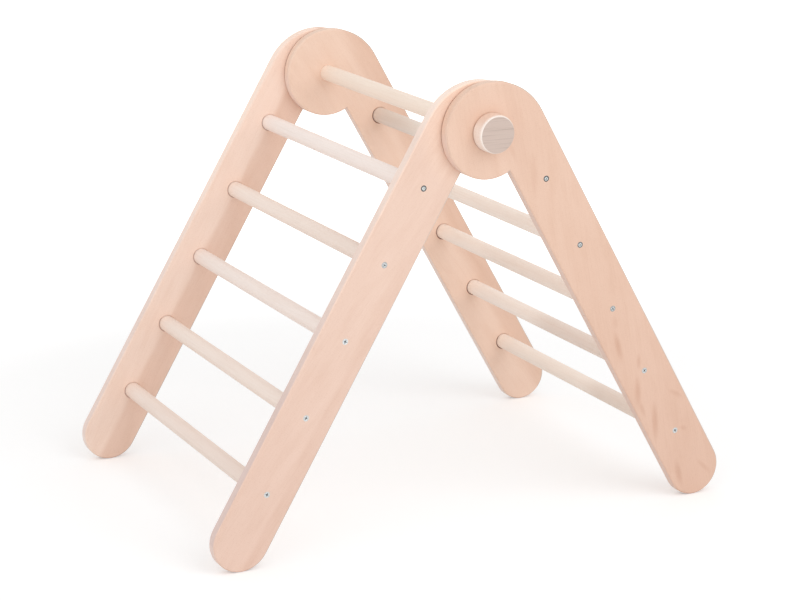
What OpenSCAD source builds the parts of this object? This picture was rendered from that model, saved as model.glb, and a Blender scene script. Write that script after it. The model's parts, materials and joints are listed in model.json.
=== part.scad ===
// Folding climbing triangle: two equal beech ladders that turn on one axle and
// are clamped at the angle wanted by a wooden knob at each end of it.
// X runs from the left feet to the right feet, Y along the rungs from front to
// back, and Z up from the floor. The origin is on the floor, under the axle.
// Each ladder's outer rail laps over the other ladder's inner rail at the axle,
// so the right ladder is the left one turned half a turn about Z.

/* [Stance] */
// Angle between the two ladders
open_angle = 60.5; // [40:0.5:90]
// Width over the outer faces of the two outer rails
frame_w = 628; // [500:1:800]

/* [Rails] */
// Width of a rail across its flat face
rail_w = 97; // [84:1:106]
// Thickness of a rail
rail_t = 19; // [17:0.5:27]
// Rounding of a rail's long edges
edge_round = 3; // [1:0.5:5]
// Space between the axle's centre and the line of a rail's inner edge
edge_gap = 0; // [0:0.5:6]
// Radius of the round head about the axle
head_r = 77.5; // [68:0.5:86]
// How much larger the shoulder's radius is than the head's
shoulder_swing = 25; // [20:1:40]
// Gap between the two heads that lap, filled by the friction disc
head_gap = 1; // [0.5:0.5:3]

/* [Rungs] */
// Rungs on each ladder
rung_count = 5; // [3:1:7]
// Diameter of a rung
rung_d = 28; // [22:1:32]
// Distance from the axle's level to the first rung, along the rail
first_rung_reach = 127; // [115:1:150]
// Distance from one rung to the next, along the rail
rung_spacing = 135; // [100:1:160]
// Distance from the last rung to the centre of the round foot
foot_reach = 86; // [60:1:140]
// Depth of the blind socket that a rung's end sits in
socket_depth = 10; // [6:0.5:12]
// Gap around a rung's end in its socket
socket_gap = 0.15; // [0.05:0.05:0.3]
// Bevel at the mouth of a socket
socket_bevel = 0.8; // [0.4:0.1:1.5]
// Bevel at a rung's ends
rung_bevel = 1.5; // [0.5:0.1:3]

/* [Screws] */
// Diameter of a countersunk screw's head
screw_head_d = 10; // [8:0.5:12]
// Diameter of a screw's shank
screw_d = 5; // [4:0.5:6]
// Length of a screw, with its head and point
screw_l = 50; // [35:1:70]
// Length of a screw's point
screw_point = 6; // [4:0.5:8]
// Gap around a screw in its hole
screw_gap = 0.05; // [0.02:0.01:0.1]
// Width across a screw's cross recess
recess_l = 5.4; // [4:0.2:6]
// Width of one arm of the cross recess
recess_w = 1.2; // [0.8:0.1:1.6]
// Depth of the cross recess
recess_depth = 1.8; // [1:0.1:2.2]

/* [Axle] */
// Diameter of the axle
axle_d = 28; // [22:1:32]
// How far each end of the axle stops short of the rail's outer face
axle_recess = 2; // [1:0.5:5]
// Bevel at the axle's ends
axle_bevel = 1; // [0.5:0.1:2]
// Gap around the axle in the ladder that turns on it
running_gap = 0.08; // [0.02:0.01:0.1]
// Diameter of the friction disc between two heads
disc_d = 100; // [60:1:130]
// Gap between two faces that turn on each other
face_gap = 0.05; // [0.02:0.01:0.1]
// Gap around the axle in a friction disc
disc_gap = 0.25; // [0.1:0.05:1]

/* [Clamp knobs] */
// Diameter of a knob
knob_d = 62; // [50:1:80]
// Thickness of a knob
knob_h = 23; // [18:0.5:40]
// Rounding of a knob's outer edge
knob_round = 2.5; // [1:0.5:5]
// Rounding of a knob's edge at the washer
knob_base_round = 1; // [0.5:0.1:2]
// Diameter of the washer under a knob
washer_d = 54; // [40:1:60]
// Thickness of that washer
washer_t = 1.5; // [1:0.1:3]
// Diameter of the threaded stud in a knob
stud_d = 8; // [6:1:10]
// Length of stud glued into a knob
stud_in_knob = 15; // [10:0.5:16]
// Length of stud screwed into the axle's insert when the knob is tight
stud_in_insert = 20; // [12:0.5:22]
// Gap around the stud in the insert's thread
thread_gap = 0.05; // [0.02:0.01:0.1]
// Gap around the stud in the washer
washer_gap = 0.2; // [0.1:0.05:0.5]
// Outer diameter of the threaded insert in the axle's end
insert_d = 12.5; // [12:0.5:16]
// Length of that insert
insert_l = 25; // [23:0.5:30]
// Depth of the axle's hole past the insert
insert_run_out = 4; // [1:0.5:10]

/* [Hidden] */
$fn = 96;
// Overlap that lets a cut run past a face
past = 1;

beech = [0.91, 0.78, 0.69];
beech_rod = [0.93, 0.86, 0.80];
beech_end = [0.83, 0.76, 0.72];
zinc = [0.72, 0.76, 0.78];
brass = [0.80, 0.68, 0.42];
fibre = [0.36, 0.30, 0.26];

LEFT = -1;
RIGHT = 1;

// The ladder's own frame: X down the rail from the axle, Y out across the rail,
// Z along the rungs towards the ladder's outer rail
half_open = open_angle / 2;
rail_centre = edge_gap + rail_w / 2;
rail_edge = edge_gap + rail_w;
foot_x = first_rung_reach + (rung_count - 1) * rung_spacing + foot_reach;
pivot_z = foot_x * cos(half_open) - rail_centre * sin(half_open) + rail_w / 2;

// The shoulder is an arc that leaves the rail's outer edge square to its
// radius and runs into the round head without a corner
shoulder_r = head_r + shoulder_swing;
shoulder_y = rail_edge - shoulder_r;
shoulder_x = sqrt(shoulder_swing * shoulder_swing - shoulder_y * shoulder_y);

// Inner faces of a ladder's outer rail and of its inner rail
outer_rail_z = frame_w / 2 - rail_t;
inner_rail_z = outer_rail_z - head_gap - rail_t;
rung_l = outer_rail_z + inner_rail_z + 2 * socket_depth;
axle_l = frame_w - 2 * axle_recess;
washer_z = frame_w / 2 + face_gap;
knob_z = washer_z + washer_t + face_gap;
countersink = (screw_head_d - screw_d) / 2;

rung_xs = [for (n = [0 : rung_count - 1]) first_rung_reach + n * rung_spacing];

// ---- Outlines ----

// Half of a disc's section, from its axis to a rim that is rounded by `low` at
// the bottom and by `high` at the top
module rim_section(r, h, low, high) {
    translate([0, low]) square([r, h - low - high]);
    square([r - low, h]);
    square([r - high, h]);
    translate([r - low, low]) circle(low);
    translate([r - high, h - high]) circle(high);
}

// A bar's section, with all four corners rounded
module bar_section(w, h, round) {
    translate([0, round]) square([w, h - 2 * round]);
    translate([round, 0]) square([w - 2 * round, h]);
    for (x = [round, w - round], y = [round, h - round])
        translate([x, y]) circle(round);
}

// A sector of a flat rounded disc, turned from the X axis through `angle`
module disc_sector(r, angle) {
    rotate_extrude(angle = angle)
        rim_section(r, rail_t, edge_round, edge_round);
}

// ---- Rails ----

// Puts the origin at the shoulder's centre. X moves in two steps, so that the
// shapes keep enough of its digits to meet exactly
module at_shoulder() {
    step = round(shoulder_x * 100) / 100;
    translate([step, shoulder_y, 0]) translate([shoulder_x - step, 0, 0]) children();
}

// The wedge that the shoulder fills, from the end of the straight to the line
// through both centres, where the two arcs meet
module shoulder_wedge() {
    l = 2 * shoulder_r;
    at_shoulder()
        translate([0, 0, -past])
            linear_extrude(height = rail_t + 2 * past)
                polygon([[0, 0], [0, l], [-l, l], [-l * shoulder_x, -l * shoulder_y] / shoulder_swing]);
}

// The rail's board: shoulder, head, straight and round foot
module rail_board() {
    intersection() {
        at_shoulder() rotate([0, 0, 90]) disc_sector(shoulder_r, 180);
        shoulder_wedge();
    }
    difference() {
        union() {
            rotate([0, 0, 90]) disc_sector(head_r, 360);
            translate([0, edge_gap, 0])
                rotate([90, 0, 90])
                    linear_extrude(height = foot_x) bar_section(rail_w, rail_t, edge_round);
        }
        shoulder_wedge();
    }
    translate([foot_x, rail_centre, 0])
        rotate([0, 0, -90])
            disc_sector(rail_w / 2, 180);
}

// A blind socket cut into the rail's inner face
module socket_cut() {
    r = rung_d / 2 + socket_gap;
    translate([0, 0, -past]) cylinder(r = r, h = socket_depth + past);
    translate([0, 0, -past]) cylinder(r1 = r + socket_bevel + past, r2 = r, h = socket_bevel + past);
}

// A screw's solid with `gap` added all round: it hangs down from its flat top
// at the origin
module screw_form(gap) {
    top_r = screw_head_d / 2 + gap;
    shank_r = screw_d / 2 + gap;
    shank_l = screw_l - screw_point - countersink;
    translate([0, 0, -countersink]) cylinder(r1 = shank_r, r2 = top_r, h = countersink);
    translate([0, 0, -countersink - shank_l]) cylinder(r = shank_r, h = shank_l);
    translate([0, 0, -screw_l - gap]) cylinder(r1 = gap, r2 = shank_r, h = screw_point + gap);
}

module screw_cut() {
    screw_form(screw_gap);
    cylinder(r = screw_head_d / 2 + screw_gap, h = past);
}

// A whole rail, its inner face at Z 0 and its outer face at rail_t
module rail(bore_gap) {
    color(beech)
        difference() {
            rail_board();
            translate([0, 0, -past])
                cylinder(r = axle_d / 2 + bore_gap, h = rail_t + 2 * past);
            for (x = rung_xs) {
                translate([x, rail_centre, 0]) socket_cut();
                translate([x, rail_centre, rail_t]) screw_cut();
            }
        }
}

// ---- Rungs and screws ----

// A round rod along Z with bevelled ends
module rod(d, l, bevel) {
    r = d / 2;
    cylinder(r1 = r - bevel, r2 = r, h = bevel);
    translate([0, 0, bevel]) cylinder(r = r, h = l - 2 * bevel);
    translate([0, 0, l - bevel]) cylinder(r1 = r, r2 = r - bevel, h = bevel);
}

// A rung in its ladder's frame, with a pilot hole for the screw at each end
module rung(x) {
    color(beech_rod)
        difference() {
            translate([x, rail_centre, -inner_rail_z - socket_depth])
                rod(rung_d, rung_l, rung_bevel);
            translate([x, rail_centre, outer_rail_z + rail_t]) screw_cut();
            translate([x, rail_centre, -inner_rail_z - rail_t]) mirror([0, 0, 1]) screw_cut();
        }
}

module screw() {
    color(zinc)
        difference() {
            screw_form(0);
            for (turn = [0, 90])
                rotate([0, 0, turn])
                    translate([-recess_l / 2, -recess_w / 2, -recess_depth])
                        cube([recess_l, recess_w, recess_depth + past]);
        }
}

// One rail's screws, in the rail's frame
module screw_row() {
    for (x = rung_xs)
        translate([x, rail_centre, rail_t]) screw();
}

// ---- Axle and clamp, along the axle from its middle towards the front ----

module insert_cut() {
    depth = insert_l + insert_run_out;
    translate([0, 0, axle_l / 2 - depth]) cylinder(d = insert_d, h = depth + past);
}

module axle() {
    color(beech_rod)
        difference() {
            translate([0, 0, -axle_l / 2]) rod(axle_d, axle_l, axle_bevel);
            insert_cut();
            mirror([0, 0, 1]) insert_cut();
        }
}

module friction_disc() {
    color(fibre)
        translate([0, 0, outer_rail_z - head_gap + face_gap])
            difference() {
                cylinder(d = disc_d, h = head_gap - 2 * face_gap);
                translate([0, 0, -past])
                    cylinder(r = axle_d / 2 + disc_gap, h = head_gap + 2 * past);
            }
}

module insert() {
    color(brass)
        translate([0, 0, axle_l / 2 - insert_l])
            difference() {
                cylinder(d = insert_d, h = insert_l);
                translate([0, 0, -past])
                    cylinder(r = stud_d / 2 + thread_gap, h = insert_l + 2 * past);
            }
}

module stud() {
    stud_end = axle_l / 2 - stud_in_insert;
    stud_top = knob_z + stud_in_knob;
    color(zinc)
        translate([0, 0, stud_end]) cylinder(d = stud_d, h = stud_top - stud_end);
}

module washer() {
    color(zinc)
        translate([0, 0, washer_z])
            difference() {
                cylinder(d = washer_d, h = washer_t);
                translate([0, 0, -past])
                    cylinder(r = stud_d / 2 + washer_gap, h = washer_t + 2 * past);
            }
}

module knob() {
    color(beech_end)
        translate([0, 0, knob_z])
            difference() {
                rotate_extrude() rim_section(knob_d / 2, knob_h, knob_base_round, knob_round);
                translate([0, 0, -past]) cylinder(d = stud_d, h = stud_in_knob + past);
            }
}

// ---- Placing ----

// Puts a ladder's own frame at the left or at the right of the axle
module in_ladder(side) {
    translate([0, 0, pivot_z])
        rotate([0, 0, side == LEFT ? 180 : 0])
            rotate([0, 90 - half_open, 0])
                rotate([90, 0, 0])
                    children();
}

// The outer rail is at the back of the left ladder and at the front of the right
module as_outer_rail(side) {
    in_ladder(side) translate([0, 0, outer_rail_z]) children();
}

module as_inner_rail(side) {
    in_ladder(side) mirror([0, 0, 1]) translate([0, 0, inner_rail_z]) children();
}

module on_axle() {
    translate([0, 0, pivot_z]) rotate([90, 0, 0]) children();
}

module at_front() {
    on_axle() children();
}

module at_back() {
    on_axle() mirror([0, 0, 1]) children();
}

// ---- Nodes ----

as_inner_rail(LEFT) rail(0);  // left_front_rail
as_outer_rail(LEFT) rail(0);  // left_back_rail
as_outer_rail(RIGHT) rail(running_gap);  // right_front_rail
as_inner_rail(RIGHT) rail(running_gap);  // right_back_rail
for (n = [1 : rung_count]) {
    in_ladder(LEFT) rung(rung_xs[n - 1]);
    in_ladder(RIGHT) rung(rung_xs[n - 1]);
}
as_inner_rail(LEFT) screw_row();  // left_front_screws
as_outer_rail(LEFT) screw_row();  // left_back_screws
as_outer_rail(RIGHT) screw_row();  // right_front_screws
as_inner_rail(RIGHT) screw_row();  // right_back_screws
on_axle() axle();
at_front() friction_disc();  // front_friction_disc
at_back() friction_disc();  // back_friction_disc
at_front() insert();  // front_insert
at_back() insert();  // back_insert
at_front() stud();  // front_stud
at_back() stud();  // back_stud
at_front() washer();  // front_washer
at_back() washer();  // back_washer
at_front() knob();  // front_knob
at_back() knob();  // back_knob
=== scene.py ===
"""The folding climbing triangle's looks: oiled beech rails, pale beech rungs, wooden
clamp knobs and zinc-plated screws, in soft studio light on a white floor."""

import json
import math
from typing import NamedTuple

import bmesh
import bpy
from mathutils import Matrix, Vector


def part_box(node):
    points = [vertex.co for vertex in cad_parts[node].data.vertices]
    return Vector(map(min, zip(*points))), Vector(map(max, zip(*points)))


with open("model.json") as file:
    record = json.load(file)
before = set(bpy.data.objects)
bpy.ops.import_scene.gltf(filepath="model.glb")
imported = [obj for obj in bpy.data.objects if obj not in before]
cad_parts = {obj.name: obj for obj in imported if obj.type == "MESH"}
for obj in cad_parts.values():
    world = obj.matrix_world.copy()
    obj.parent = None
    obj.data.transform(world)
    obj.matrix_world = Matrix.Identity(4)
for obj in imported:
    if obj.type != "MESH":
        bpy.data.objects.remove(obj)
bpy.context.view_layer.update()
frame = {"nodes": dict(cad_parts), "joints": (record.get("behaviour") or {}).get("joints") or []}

# ---- The frame's own sizes, in metres ----

FOLD = next(joint for joint in frame["joints"] if joint["name"] == "ladder_fold")
AXLE = Vector(FOLD["pos_m"])
HALF_OPEN = math.radians(-FOLD["range_deg"][0] / 2)
SIDES = {"left": -1, "right": 1}


def middle(node):
    low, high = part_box(node)
    return (Vector(low) + Vector(high)) / 2


def size(node, axis):
    low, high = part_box(node)
    return high[axis] - low[axis]


def ladder_turn(side):
    """The turn about Y that lays a ladder's rails along X, with the foot at high X."""
    return -(math.pi / 2 - SIDES[side] * HALF_OPEN)


def on_ladder(side, point):
    """A place as its ladder sees it: down the rail from the axle, and outward across it."""
    turned = Matrix.Rotation(ladder_turn(side), 3, "Y") @ (point - AXLE)
    return turned.x, SIDES[side] * turned.z


RUNG_PLACES = [on_ladder("right", middle(f"right_rung_{n}")) for n in (1, 2)]
FIRST_RUNG, RUNG_LINE = RUNG_PLACES[0]
RUNG_SPACING = RUNG_PLACES[1][0] - FIRST_RUNG
KNOB_R = size("front_knob", 0) / 2
RUNG_R = size("right_rung_1", 0) / 2
RUNG_COUNT = sum(name.startswith("right_rung") for name in frame["nodes"])
HEAD_SEAM = abs(middle("front_friction_disc").y)
HEAD_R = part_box("right_front_rail")[1][2] - AXLE.z
RAIL_T = size("right_front_rail", 1)
SCREW_HEAD_R = 0.005


# ---- Materials: the tools that write them ----


class Value:
    """What a node gives over a surface. Each sum on its numbers adds a Math node."""

    def __init__(self, finish, socket):
        self.finish, self.socket = finish, socket

    def output(self, name):
        """Another output of the same node."""
        return Value(self.finish, self.socket.node.outputs[name])

    def maths(self, operation, *others):
        return self.finish.node("Math", {"operation": operation}, self, *others)

    def __add__(self, other):
        return self.maths("ADD", other)

    def __sub__(self, other):
        return self.maths("SUBTRACT", other)

    def __rsub__(self, other):
        return self.finish.node("Math", {"operation": "SUBTRACT"}, other, self)

    def __mul__(self, other):
        return self.maths("MULTIPLY", other)

    def __truediv__(self, other):
        return self.maths("DIVIDE", other)

    def __abs__(self):
        return self.maths("ABSOLUTE")

    __radd__ = __add__
    __rmul__ = __mul__

    def fract(self):
        return self.maths("FRACT")

    def root(self):
        return self.maths("SQRT")

    def most(self, other):
        return self.maths("MAXIMUM", other)

    def between(self, low, high):
        """0 at low and 1 at high, with smooth ends. High may be the smaller one."""
        settings = {"interpolation_type": "SMOOTHSTEP"}
        return self.finish.node("MapRange", settings, self, low, high, 0.0, 1.0)


class Finish:
    """A node tree. A material's own shader is at hand as shader."""

    def __init__(self, name, tree=None):
        if tree is None:
            self.material = bpy.data.materials.new(name)
            self.material.use_nodes = True
            tree = self.material.node_tree
            self.shader = tree.nodes["Principled BSDF"]
        self.tree = tree

    def feed(self, socket, value):
        if isinstance(value, Value):
            self.tree.links.new(value.socket, socket)
        else:
            socket.default_value = value

    def node(self, kind, settings, *values, out=None, **named):
        """Adds a node: its settings first, then its sockets in order or by name. It gives
        its first output, or the one that is named."""
        made = self.tree.nodes.new("ShaderNode" + kind)
        for key, value in settings.items():
            setattr(made, key, value)
        shown = [socket for socket in made.inputs if socket.enabled]
        for socket, value in zip(shown, values, strict=False):
            self.feed(socket, value)
        for key, value in named.items():
            label = key.replace("_", " ")
            self.feed(next(socket for socket in shown if socket.name == label), value)
        if out:
            return Value(self, made.outputs[out])
        return Value(self, next(socket for socket in made.outputs if socket.enabled))

    def parts(self, vector):
        """A vector's three numbers."""
        along_x = self.node("SeparateXYZ", {}, vector)
        return along_x, along_x.output("Y"), along_x.output("Z")

    def here(self):
        return self.node("TexCoord", {}, out="Object")

    def facing(self):
        """The way the surface faces, as three numbers that turn with the piece."""
        return self.parts(self.node("TexCoord", {}, out="Normal"))

    def turned(self, vector, shift, turn):
        settings = {"vector_type": "POINT"}
        return self.node("Mapping", settings, vector, shift, turn)

    def inside(self, vector, centre, turn, scale):
        """The vector as a box of that centre, turn and half size sees it."""
        settings = {"vector_type": "TEXTURE"}
        return self.node("Mapping", settings, vector, centre, turn, scale)

    def length(self, vector):
        return self.node("VectorMath", {"operation": "LENGTH"}, vector, out="Value")

    def dot(self, vector, other):
        return self.node("VectorMath", {"operation": "DOT_PRODUCT"}, vector, other, out="Value")

    def stretch(self, vector, scale, shift=(0, 0, 0)):
        settings = {"operation": "MULTIPLY_ADD"}
        return self.node("VectorMath", settings, vector, scale, shift)

    def noise(self, vector, detail, roughness=0.5):
        sockets = {"Vector": vector, "Scale": 1.0, "Detail": detail, "Roughness": roughness}
        return self.node("TexNoise", {"noise_dimensions": "3D"}, **sockets)

    def specks(self, vector, share, radius):
        """Small soft spots, one in each cell of the vector's grid that holds one."""
        distance = self.node("TexVoronoi", {}, Vector=vector, Scale=1.0)
        lot = self.parts(distance.output("Color"))[0]
        return distance.between(radius, radius * 0.4) * lot.between(share, share * 0.9)

    def mix(self, factor, low, high, blend="MIX"):
        settings = {"data_type": "RGBA", "blend_type": blend}
        return self.node("Mix", settings, factor, low, high)

    def tint(self, colour, amount, by):
        """The colour, multiplied by another where the amount is 1."""
        return self.mix(amount, colour, by, "MULTIPLY")

    def set(self, **sockets):
        for key, value in sockets.items():
            self.feed(self.shader.inputs[key.replace("_", " ")], value)

    def bump(self, height, distance, strength):
        normal = self.node("Bump", {}, Strength=strength, Distance=distance, Height=height)
        self.set(Normal=normal)


def srgb(red, green, blue):
    """A colour as a picture shows it, 0 to 255, in Blender's linear numbers."""

    def linear(shown):
        share = shown / 255
        return share / 12.92 if share <= 0.04045 else ((share + 0.055) / 1.055) ** 2.4

    return (linear(red), linear(green), linear(blue), 1.0)


def grey(level):
    return (level, level, level, 1.0)


def finish_node(name, material):
    """Gives a CAD node's slots one material."""
    mesh = frame["nodes"][name].data
    mesh.materials.clear()
    mesh.materials.append(material)


# ---- Wood ----

# Each of these multiplies a wood's colour where its mask is full.
GRAIN_DARK = (0.86, 0.78, 0.72, 1.0)
FLECK_DARK = (0.74, 0.60, 0.50, 1.0)
END_DARK = (0.98, 0.95, 0.93, 1.0)
PORE_DARK = (0.55, 0.40, 0.30, 1.0)
SIDE_AND_HEART_DARK = (0.88, 0.81, 0.77, 1.0)
STREAK_DARK = (0.86, 0.77, 0.72, 1.0)
# Painted shade: the rails grow darker towards the foot, where the lamps light them less.
FOOT_PAINTED_SHADE = (0.88, 0.80, 0.80, 1.0)
# Painted light on the left front rail round its head, against the shade that the heads cast
# there.
HEAD_PAINTED_LIGHT = (1.09, 1.11, 1.10, 1.0)
# Painted shade in the gap where each rung enters its socket.
SOCKET_PAINTED_SHADE = (0.28, 0.14, 0.09, 1.0)
# Wear on the heads' rubbed faces, and the painted shadow ring under each knob.
WEAR_AND_SHADE_DARK = (0.55, 0.43, 0.36, 1.0)
# A dowel's darker end: painted shade on right_rung_1, a darker end on the others.
ROD_DARK_AND_SHADE = (0.74, 0.68, 0.65, 1.0)

# The same for a rail's long edges, all painted light and shade: a painted sheen on all of them,
# painted light on the left ladder's upper ones, painted shade on those low down and on the under
# ones, painted shade on the rounding that faces right, and a painted highlight on one lit corner.
RIM_PAINTED_SHEEN = (1.02, 1.08, 1.12, 1.0)
RIM_PAINTED_LIGHT = {
    "left_front_rail": (1.07, 1.12, 1.16, 1.0),
    "left_back_rail": (1.07, 1.05, 1.03, 1.0),
}
RIM_PAINTED_LOW_SHADE = {
    "left_front_rail": (0.81, 0.79, 0.82, 1.0),
    "left_back_rail": (0.85, 0.86, 0.91, 1.0),
}
RIM_SHADED = (0.97, 1.0, 1.06, 1.0)
EDGE_PAINTED_SHADE = (0.79, 0.95, 1.05, 1.0)
CORNER_LIT = (1.09, 1.12, 1.14, 1.0)

# How much of SIDE_AND_HEART_DARK the heartwood takes, and of WEAR_AND_SHADE_DARK the painted
# shadow ring under a knob.
HEART_SHARE = 0.22
KNOB_SHADOW_SHARE = 0.2

# A socket's ring of painted shade in the gap round its rung: its strength on each ladder, the way
# that its darkest side lies, away from the light, and how strong its palest side is.
SOCKET_SHADES = {"left": 0.5, "right": 1.0}
SOCKET_SHADE_WAY = Vector((-0.7, 0.0, -0.7))
SOCKET_LEAST = 0.25


def wood(finish, grain, colour, seed, rings, fibre, flecks=0.3, patches=0.2):
    """Adds beech's growth rings, fibres and flecks to a colour, along the grain's X."""
    wander = finish.noise(finish.stretch(grain, (2.5, 9.0, 9.0), (seed, 0.0, 0.0)), 2.0)
    from_heart = (0.0, 0.085 + 0.01 * seed, 0.02 * math.sin(seed))
    heart = finish.stretch(grain, (0.0, 1.0, 1.0), from_heart)
    years = finish.length(heart) * 260.0 + wander * 9.0
    ring = years.fract().between(0.1, 0.95)
    streak = finish.noise(finish.stretch(grain, (10.0, 420.0, 420.0), (seed, 0.0, 0.0)), 3.0, 0.6)
    drift = finish.noise(finish.stretch(grain, (1.6, 14.0, 14.0), (0.0, seed, 0.0)), 1.0)
    cells = finish.stretch(grain, (300.0, 2100.0, 2100.0), (0.0, 0.0, seed))
    fleck = finish.specks(cells, 0.4, 0.5)
    shade = ring * (0.35 * rings) + streak.between(0.42, 0.8) * (0.6 * fibre)
    cloud = finish.noise(finish.stretch(grain, (14.0, 55.0, 55.0), (0.0, 0.0, seed)), 2.0)
    shade = shade + (drift.between(0.35, 0.75) + cloud.between(0.4, 0.75)) * patches
    colour = finish.tint(colour, shade, GRAIN_DARK)
    colour = finish.tint(colour, fleck * flecks, FLECK_DARK)
    return colour, streak, fleck


def end_grain(finish, colour, place, amount):
    """Where the fibres end in the surface, it is duller and shows their pores."""
    pores = finish.specks(finish.stretch(place, (1100.0, 1100.0, 1100.0)), 0.3, 0.45)
    colour = finish.tint(colour, amount, END_DARK)
    return finish.tint(colour, pores * amount * 0.6, PORE_DARK)


class Board(NamedTuple):
    """The wood of one rail."""

    colour: tuple
    # How much of SIDE_AND_HEART_DARK its darker side takes, and how much painted shade
    # (FOOT_PAINTED_SHADE) its foot takes.
    dark_side: float
    foot: float
    # Where across the rail the darker side starts, over what width one side turns into the other,
    # and whether the outer side is darker (1) or the inner one (-1). On the back left rail it is
    # a second stave.
    line: float
    soft: float
    darker_way: int
    # How far the grain leans from the rail, in radians.
    lean: float


# The back rails' colours are paler than the front ones: painted light against the shade the back
# rails stand in.
BOARDS = {
    "left_front_rail": Board(srgb(244, 214, 197), 0.30, 0.20, 0.024, 0.010, -1, 0.12),
    "left_back_rail": Board(srgb(252, 225, 209), 0.90, 0.00, 0.048, 0.012, -1, -0.05),
    "right_front_rail": Board(srgb(239, 205, 184), 0.00, 0.27, 0.048, 0.030, 1, -0.33),
    "right_back_rail": Board(srgb(245, 214, 194), 0.75, 0.00, 0.062, 0.030, 1, 0.08),
}

# Darker streaks in the right front rail: where each starts and ends, down the rail and
# across, its width and its strength.
STREAKS = (
    (0.411, 0.044, 0.432, 0.037, 0.012, 0.4),
    (0.436, 0.033, 0.489, 0.020, 0.012, 0.85),
    (0.499, 0.053, 0.524, 0.040, 0.009, 0.7),
    (0.533, 0.031, 0.581, 0.010, 0.014, 0.8),
    (0.575, 0.015, 0.607, 0.011, 0.009, 0.55),
    (0.594, 0.038, 0.658, 0.009, 0.013, 0.85),
    (0.717, 0.025, 0.765, 0.012, 0.013, 0.8),
    (0.594, 0.072, 0.621, 0.088, 0.010, 0.5),
    (0.667, 0.060, 0.681, 0.069, 0.009, 0.5),
    (0.745, 0.060, 0.782, 0.071, 0.009, 0.5),
    (0.075, 0.050, 0.146, 0.014, 0.013, 0.3),
    (0.025, 0.021, 0.073, 0.016, 0.009, 0.3),
)


def ladder_place(finish, side):
    """Object coordinates as X down the rail from the axle, Y, and Z outward across it."""
    turn = ladder_turn(side)
    shift = -(Matrix.Rotation(turn, 3, "Y") @ AXLE)
    place = finish.turned(finish.here(), shift, (0.0, turn, 0.0))
    return finish.stretch(place, (1.0, 1.0, SIDES[side]))


def rung_offset(finish, place):
    """How far a place is from the nearest rung's middle line, down the rail and across."""
    down, _, across = finish.parts(place)
    turns = (down - (FIRST_RUNG - RUNG_SPACING / 2)) / RUNG_SPACING
    return (turns.fract() - 0.5) * RUNG_SPACING, across - RUNG_LINE


def rung_distance(finish, place):
    off, off_line = rung_offset(finish, place)
    return (off * off + off_line * off_line).root()


def axle_distance(finish, place):
    return finish.length(finish.stretch(place, (1.0, 0.0, 1.0)))


def socket_shade_mask(finish, place, rail, side):
    """A ring of painted shade round each rung where it enters its socket, on the rail's inner
    face.
    """
    down, deep, _ = finish.parts(place)
    reach = rung_distance(finish, place)
    outside = reach.between(RUNG_R - 0.0005, RUNG_R)
    ring = outside * reach.between(RUNG_R + 0.0023, RUNG_R + 0.0013)
    inner = abs(deep).between(abs(middle(rail).y) + 0.004, abs(middle(rail).y))
    last = FIRST_RUNG + (RUNG_COUNT - 1) * RUNG_SPACING
    from_first = down.between(FIRST_RUNG - 0.04, FIRST_RUNG - 0.03)
    held = from_first * down.between(last + 0.04, last + 0.03)
    off, off_line = rung_offset(finish, place)
    way = Matrix.Rotation(ladder_turn(side), 3, "Y") @ SOCKET_SHADE_WAY
    toward = (off * way.x + off_line * (way.z * SIDES[side])) / RUNG_R
    shaded_side = toward.between(-0.8, 0.5) * (1.0 - SOCKET_LEAST) + SOCKET_LEAST
    return ring * inner * held * shaded_side * SOCKET_SHADES[side]


def rubbed_mask(finish, place):
    """The faces of the heads that turn on each other."""
    _, deep, _ = finish.parts(place)
    off_seam = abs(abs(deep) - HEAD_SEAM)
    reach = axle_distance(finish, place)
    return off_seam.between(0.0012, 0.0008) * reach.between(HEAD_R - 0.001, HEAD_R - 0.004)


def knob_shadow_mask(finish, place):
    """A ring of painted shadow on the outer heads, where the knobs' rims stand over them."""
    _, deep, _ = finish.parts(place)
    reach = axle_distance(finish, place)
    ring = reach.between(KNOB_R - 0.003, KNOB_R - 0.001) * reach.between(KNOB_R + 0.0014, KNOB_R)
    outer = HEAD_SEAM + RAIL_T
    return ring * abs(deep).between(outer - 0.003, outer - 0.001)


def streak_mask(finish, place, start_x, start_z, end_x, end_z, width, strength):
    run = Vector((end_x - start_x, 0.0, end_z - start_z))
    centre = ((start_x + end_x) / 2, 0.0, (start_z + end_z) / 2)
    turn = -math.atan2(run.z, run.x)
    half = (run.length / 2, 1.0, width / 2)
    near = finish.length(finish.inside(place, centre, (0.0, turn, 0.0), half))
    return near.between(1.4, 0.2) * strength


def streaks_mask(finish, place):
    masks = [streak_mask(finish, place, *streak) for streak in STREAKS]
    dark = masks[0]
    for mask in masks[1:]:
        dark = dark.most(mask)
    return dark


def board_colour(finish, name, place, grain, seed):
    """A rail's darker side, heartwood and streaks, with painted shade towards its foot and
    painted light round the left front rail's head.
    """
    board = BOARDS[name]
    waver = finish.noise(finish.stretch(place, (6.0, 0.0, 0.0), (seed, 0.0, 0.0)), 1.0) * 0.006
    down, _, across = finish.parts(place)
    across = across + waver - 0.003
    reach = board.darker_way * board.soft / 2
    shade = across.between(board.line - reach, board.line + reach) * board.dark_side
    if name == "right_front_rail":
        heart = finish.parts(grain)[2] + waver
        shade = shade + heart.between(0.034, 0.042) * HEART_SHARE
    colour = finish.tint(board.colour, shade, SIDE_AND_HEART_DARK)
    # Painted shade towards the foot.
    colour = finish.tint(colour, down.between(0.15, 0.7) * board.foot, FOOT_PAINTED_SHADE)
    if name == "left_front_rail":
        # Painted light round the head.
        head_light = axle_distance(finish, place).between(HEAD_R + 0.04, HEAD_R)
        colour = finish.tint(colour, head_light, HEAD_PAINTED_LIGHT)
    if name == "right_front_rail":
        colour = finish.tint(colour, streaks_mask(finish, place), STREAK_DARK)
    return colour


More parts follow.
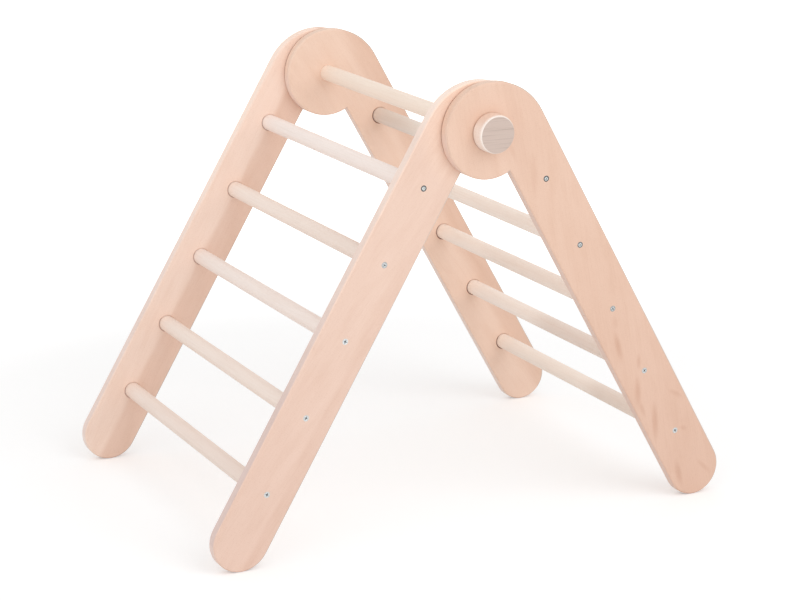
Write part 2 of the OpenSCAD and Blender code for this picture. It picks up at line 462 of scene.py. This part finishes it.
def edge_colour(finish, name, side, place, colour):
    """The end grain of a rail's long edges, and the painted sheen, light, shade and highlight on
    them, clear of the sockets.
    """
    along = Vector((SIDES[side] * math.sin(HALF_OPEN), 0.0, -math.cos(HALF_OPEN)))
    normal = finish.node("TexCoord", {}, out="Normal")
    ends = abs(finish.dot(normal, along)).between(0.35, 0.95)
    facing_x, facing_y, facing_up = finish.parts(normal)
    flat = abs(facing_y)
    down = finish.parts(place)[0]
    clear = rung_distance(finish, place).between(RUNG_R + 0.002, RUNG_R + 0.004)
    rim = flat.between(0.6, 0.3) * clear
    colour = end_grain(finish, colour, place, ends * flat.between(0.6, 0.2))
    # A painted sheen on every rim.
    colour = finish.tint(colour, rim, RIM_PAINTED_SHEEN)
    if side == "left":
        # Painted light on the left ladder's upper rims, and painted shade on them low down.
        lit = rim * facing_up.between(-0.1, 0.1)
        colour = finish.tint(colour, lit, RIM_PAINTED_LIGHT[name])
        colour = finish.tint(colour, lit * down.between(0.1, 0.6), RIM_PAINTED_LOW_SHADE[name])
    # Painted shade on the under rims.
    colour = finish.tint(colour, rim * facing_up.between(0.1, -0.1), RIM_SHADED)
    rounding = flat.between(0.995, 0.93)
    # Painted shade on the rounding that faces right.
    edge = rounding * flat.between(0.1, 0.3) * facing_x.between(0.1, 0.3) * clear
    colour = finish.tint(colour, edge, EDGE_PAINTED_SHADE)
    if name == "left_front_rail":
        # A painted highlight on the lit corner.
        corner = rounding * flat.between(0.3, 0.6) * facing_x.between(-0.05, -0.2)
        corner = corner * facing_up.between(0.0, 0.1) * down.between(0.65, 0.1)
        colour = finish.tint(colour, corner, CORNER_LIT)
    return colour


def rail_finish(name):
    finish = Finish(name)
    side = name.split("_")[0]
    seed = 1.7 + 2.3 * list(BOARDS).index(name)
    place = ladder_place(finish, side)
    lean = (0.0, -BOARDS[name].lean, 0.0)
    grain = finish.inside(place, (0.0, 0.0, 0.0), lean, (1.0, 1.0, 1.0))
    colour = board_colour(finish, name, place, grain, seed)
    colour, fibre, fleck = wood(finish, grain, colour, seed, rings=0.18, fibre=0.3)
    # Painted shade round the sockets.
    colour = finish.tint(colour, socket_shade_mask(finish, place, name, side), SOCKET_PAINTED_SHADE)
    colour = finish.tint(colour, rubbed_mask(finish, place), WEAR_AND_SHADE_DARK)
    if name in ("right_front_rail", "left_back_rail"):
        # Painted shadow under each knob's rim.
        knob_shadow = knob_shadow_mask(finish, place) * KNOB_SHADOW_SHARE
        colour = finish.tint(colour, knob_shadow, WEAR_AND_SHADE_DARK)
    colour = edge_colour(finish, name, side, place, colour)
    finish.set(Base_Color=colour, Roughness=0.46 + 0.14 * fibre)
    finish.bump(fibre - fleck * 0.5, 0.0002, 0.35)
    return finish.material


# Each dowel's colour, where along Y it starts and ends growing darker, and by how much.
# An even one doesn't. On right_rung_1 that darkening is painted shade near the back rails and
# axle.
# The left rungs step darker down the ladder, a painted shade, and the right rungs are paler, rung
# for
# rung, than the left ones: painted light against the shade under the right ladder.
EVEN = (0.0, 0.1, 0.0)
RODS = {
    "left_rung_1": (srgb(253, 240, 233), *EVEN),
    "left_rung_2": (srgb(252, 236, 225), 0.25, -0.3, 0.27),
    "left_rung_3": (srgb(250, 236, 228), *EVEN),
    "left_rung_4": (srgb(248, 232, 221), *EVEN),
    "left_rung_5": (srgb(247, 230, 219), 0.25, -0.3, 0.16),
    "right_rung_1": (srgb(255, 246, 236), 0.0, 0.2, 0.8),
    "right_rung_2": (srgb(255, 242, 231), *EVEN),
    "right_rung_3": (srgb(255, 240, 228), 0.14, 0.05, 0.2),
    "right_rung_4": (srgb(255, 241, 230), 0.06, -0.03, 0.55),
    "right_rung_5": (srgb(253, 239, 227), -0.02, -0.1, 0.47),
    "axle": (srgb(253, 236, 221), *EVEN),
}


def rod_finish(name):
    """A turned dowel, its grain along Y."""
    finish = Finish(name)
    pale, start, end, share = RODS[name]
    seed = 2.4 + 1.3 * list(RODS).index(name)
    along = finish.parts(finish.here())[1]
    # Darker along Y: painted shade on right_rung_1.
    colour = finish.tint(pale, along.between(start, end) * share, ROD_DARK_AND_SHADE)
    grain = finish.turned(finish.here(), (0.0, 0.0, 0.0), (0.0, 0.0, math.pi / 2))
    look = {"rings": 0.2, "fibre": 0.4, "flecks": 0.25, "patches": 0.05}
    colour, fibre, fleck = wood(finish, grain, colour, seed, **look)
    flat = abs(finish.facing()[1])
    colour = end_grain(finish, colour, finish.here(), flat.between(0.5, 0.9))
    finish.set(Base_Color=colour, Roughness=0.48 + 0.12 * fibre)
    finish.bump(fibre - fleck * 0.4, 0.0002, 0.35)
    return finish.material


# The knob's side: painted shade on its upper side and painted light on its lower side.
KNOB_TOP_PAINTED_SHADE = srgb(240, 212, 195)
KNOB_LOW_PAINTED_LIGHT = srgb(255, 244, 236)
KNOB_FACE = (srgb(208, 188, 177), srgb(180, 159, 147))

# The knob's grey end stops short of its edge by this much, and lies off centre by this much,
# leaving a pale rim that is a painted highlight, widest on the upper left.
KNOB_HIGHLIGHT_RIM = 0.0025
KNOB_HIGHLIGHT_SHIFT = 0.0012


def knob_finish():
    """A turned block with its grain along X; its faces are left matt and greyer."""
    finish = Finish("knob_beech")
    here = finish.here()
    normal = finish.facing()
    # Painted light and shade on the knob's side, by which way it faces.
    side = finish.mix(normal[2].between(0.2, 0.95), KNOB_LOW_PAINTED_LIGHT, KNOB_TOP_PAINTED_SHADE)
    colour, fibre, fleck = wood(finish, here, side, 5.1, rings=0.2, fibre=0.2)
    flat = abs(normal[1])
    ends = abs(normal[0]).between(0.4, 0.9)
    colour = end_grain(finish, colour, here, ends)
    line = finish.noise(finish.stretch(here, (9.0, 30.0, 520.0), (3.0, 0.0, 0.0)), 3.0, 0.6)
    face = finish.mix(line.between(0.45, 0.75) * 0.85, *KNOB_FACE)
    shift = (-AXLE.x - KNOB_HIGHLIGHT_SHIFT, 0.0, -AXLE.z + KNOB_HIGHLIGHT_SHIFT)
    off = finish.length(finish.stretch(here, (1.0, 0.0, 1.0), shift))
    # A painted highlight: the pale rim round the grey end.
    highlight_rim = off.between(KNOB_R - KNOB_HIGHLIGHT_RIM * 0.4, KNOB_R - KNOB_HIGHLIGHT_RIM)
    colour = finish.mix(flat.between(0.75, 0.97) * highlight_rim, colour, face)
    finish.set(Base_Color=colour, Roughness=0.5 + 0.12 * fibre)
    finish.bump(fibre + line * 0.6, 0.0002, 0.4)
    return finish.material


# ---- Metal and fibre ----

ZINC = (srgb(216, 219, 218), srgb(194, 199, 200))
SCREW_RIM_PAINTED_REFLECTION = srgb(66, 72, 74)
SCREW_RECESS_PAINTED_SHADE = srgb(84, 98, 108)

# How far down the rail the screws' dark rims, a painted reflection, end and are full, and then
# where the painted shade in their recesses starts and is full.
SCREW_PAINTED_SHADE = {"left_front_screws": (0.35, 0.15, 0.15, 0.25)}
SCREW_PAINTED_SHADE_ELSEWHERE = (0.75, 0.1, 0.2, 0.5)


def zinc_finish(name, screws=None):
    """Zinc plate. A screw's rim carries a painted dark reflection near the axle, and its recess
    painted shade further down.
    """
    finish = Finish(name)
    here = finish.here()
    cloud = finish.noise(finish.stretch(here, (420.0, 420.0, 420.0)), 3.0)
    colour = finish.mix(cloud.between(0.35, 0.7), *ZINC)
    if screws:
        place = ladder_place(finish, screws.split("_")[0])
        down, deep, _ = finish.parts(place)
        rim = rung_distance(finish, place).between(SCREW_HEAD_R * 0.5, SCREW_HEAD_R * 0.72)
        low, high, recess_shade_start, recess_shade_full = SCREW_PAINTED_SHADE.get(screws, SCREW_PAINTED_SHADE_ELSEWHERE)
        # A painted reflection: dark rims near the axle.
        colour = finish.mix(rim * down.between(low, high), colour, SCREW_RIM_PAINTED_REFLECTION)
        face = max(abs(y) for y in (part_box(screws)[0][1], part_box(screws)[1][1]))
        # Painted shade in the recesses further down.
        recess_shade = abs(deep).between(face - 0.0003, face - 0.001) * down.between(recess_shade_start, recess_shade_full)
        colour = finish.mix(recess_shade, colour, SCREW_RECESS_PAINTED_SHADE)
    finish.set(Base_Color=colour, Metallic=0.75, Roughness=0.3 + 0.2 * cloud)
    finish.bump(cloud, 0.0001, 0.2)
    return finish.material


def brass_finish():
    finish = Finish("brass")
    turned = finish.noise(finish.stretch(finish.here(), (60.0, 2600.0, 60.0)), 2.0)
    colour = finish.mix(turned.between(0.35, 0.7), srgb(214, 186, 124), srgb(186, 152, 92))
    finish.set(Base_Color=colour, Metallic=1.0, Roughness=0.25 + 0.2 * turned)
    finish.bump(turned, 0.0001, 0.3)
    return finish.material


def fibre_finish():
    """Pressed friction sheet, with short pale threads in it."""
    finish = Finish("fibre")
    thread = finish.noise(finish.stretch(finish.here(), (900.0, 2400.0, 1500.0)), 4.0, 0.7)
    colour = finish.mix(thread.between(0.4, 0.7), srgb(84, 66, 56), srgb(124, 104, 88))
    finish.set(Base_Color=colour, Roughness=0.75 + 0.15 * thread)
    finish.bump(thread, 0.0002, 0.5)
    return finish.material


for rail in BOARDS:
    finish_node(rail, rail_finish(rail))
finishes = {
    "knob": knob_finish(),
    "zinc": zinc_finish("zinc"),
    "brass": brass_finish(),
    "fibre": fibre_finish(),
}
for name in frame["nodes"]:
    if name in RODS:
        finish_node(name, rod_finish(name))
    elif "screws" in name:
        finish_node(name, zinc_finish(name, name))
    elif "stud" in name or "washer" in name:
        finish_node(name, finishes["zinc"])
    elif "insert" in name:
        finish_node(name, finishes["brass"])
    elif "disc" in name:
        finish_node(name, finishes["fibre"])
    elif "knob" in name:
        finish_node(name, finishes["knob"])

# ---- Floor, light and camera ----

FLOOR_HALF = 9.0
FLOOR_GREY = 0.85
FLOOR_LIFT = 0.24
SHADOW_REACH = 0.9
WHITE_REACH = 2.2
SKY_LEVEL = 0.765

# Each lamp's place, its width and its power. All of them point at LAMP_AIM.
LAMPS = {
    "key_right": ((1.2, -3.2, 2.9), 4.0, 44.0),
    "key_left": ((-3.2, -1.5, 2.3), 4.6, 25.0),
}
LAMP_AIM = (0.0, 0.0, 0.4)


def seen_directly(finish):
    """1 for the rays of the camera and of mirrored and clear surfaces."""
    camera = finish.node("LightPath", {}, out="Is Camera Ray")
    glossy, clear = camera.output("Is Glossy Ray"), camera.output("Is Transmission Ray")
    return camera.most(glossy).most(clear)


def white_floor():
    """A white floor that keeps the shadow near the object, and is plain white beyond."""
    board = bmesh.new()
    bmesh.ops.create_grid(board, x_segments=1, y_segments=1, size=FLOOR_HALF)
    mesh = bpy.data.meshes.new("floor")
    board.to_mesh(mesh)
    board.free()
    floor = bpy.data.objects.new("floor", mesh)
    bpy.context.scene.collection.objects.link(floor)
    finish = Finish("floor_white")
    far = finish.length(finish.here()).between(SHADOW_REACH, WHITE_REACH)
    lift = (FLOOR_LIFT + (1.0 - FLOOR_LIFT) * far) * seen_directly(finish)
    finish.set(Base_Color=grey(FLOOR_GREY), Roughness=1.0, Specular_IOR_Level=0.0)
    finish.set(Emission_Color=finish.mix(lift, grey(0.0), grey(1.0)), Emission_Strength=1.0)
    mesh.materials.append(finish.material)


def soft_lamp(name, place, width, power):
    lamp = bpy.data.lights.new(name, "AREA")
    lamp.shape, lamp.size, lamp.energy = "DISK", width, power
    lit = bpy.data.objects.new(name, lamp)
    lit.location = place
    lit.visible_camera = False
    away = Vector(place) - Vector(LAMP_AIM)
    lit.rotation_euler = away.to_track_quat("Z", "Y").to_euler()
    bpy.context.scene.collection.objects.link(lit)


def white_world():
    world = bpy.data.worlds.new("studio")
    bpy.context.scene.world = world
    world.use_nodes = True
    finish = Finish("studio", world.node_tree)
    background = world.node_tree.nodes["Background"]
    background.inputs["Color"].default_value = grey(1.0)
    level = SKY_LEVEL + (1.0 - SKY_LEVEL) * seen_directly(finish)
    finish.feed(background.inputs["Strength"], level)


def photo_camera():
    azimuth, elevation, roll = (math.radians(angle) for angle in (-27.557, 15.679, 0.590))
    distance, lens = 3.8591, 100.026
    target = Vector((0.00756, 0.0, AXLE.z - 0.355))
    back = Vector(
        (
            math.sin(azimuth) * math.cos(elevation),
            -math.cos(azimuth) * math.cos(elevation),
            math.sin(elevation),
        )
    )
    right = Vector((math.cos(azimuth), math.sin(azimuth), 0.0))
    up = back.cross(right)
    level = right * math.cos(roll) + up * math.sin(roll)
    upright = up * math.cos(roll) - right * math.sin(roll)
    camera = bpy.data.objects.new("camera", bpy.data.cameras.new("camera"))
    camera.data.lens, camera.data.sensor_width = lens, 36.0
    camera.matrix_world = Matrix.Translation(target + back * distance) @ (
        Matrix((level, upright, back)).transposed().to_4x4()
    )
    bpy.context.scene.collection.objects.link(camera)
    bpy.context.scene.camera = camera


white_floor()
white_world()
for name, (place, width, power) in LAMPS.items():
    soft_lamp(name, place, width, power)
photo_camera()
bpy.context.scene.view_settings.view_transform = "Standard"
